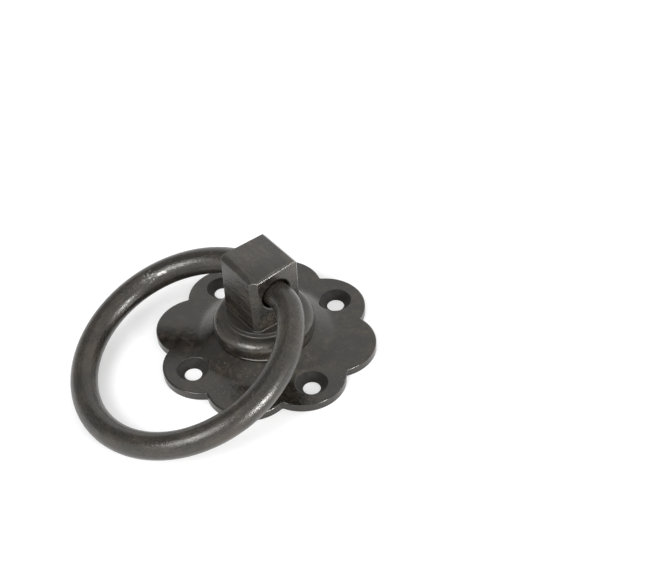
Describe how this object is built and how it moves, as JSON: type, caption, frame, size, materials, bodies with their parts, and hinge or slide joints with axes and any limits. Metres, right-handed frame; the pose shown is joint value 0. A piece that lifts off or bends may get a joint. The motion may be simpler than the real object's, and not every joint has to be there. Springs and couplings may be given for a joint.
{
  "type": "ring gate latch handle",
  "caption": "Ring turn handle of a gate latch: a petalled rose plate with a domed centre, a square turning head on a round collar and a heavy pull ring through the head.",
  "frame": {"origin": "centre of the screw circle on the back of the rose plate", "axes": "+Z out of the door along the head's turning axis; the ring swings about an axis along X and lies towards -Y"},
  "size_m": [0.0906, 0.1206, 0.0413],
  "materials": {
    "waxed_iron": "satin",
    "plain_steel": "satin"
  },
  "bodies": {
    "rose": {"rose_plate": "waxed_iron"},
    "head": {"turning_head": "waxed_iron", "thrust_washer": "plain_steel", "retaining_circlip": "plain_steel"},
    "ring": {"pull_ring": "waxed_iron"}
  },
  "joints": [
    {"name": "head_turn", "type": "hinge", "parent": "rose", "child": "head", "pos_m": [0, 0, 0], "axis": [0, 0, 1], "continuous": true},
    {"name": "ring_swing", "type": "hinge", "parent": "head", "child": "ring", "pos_m": [0, 0, 0.0305], "axis": [-1, 0, 0], "range_deg": [0, 217.5]}
  ]
}
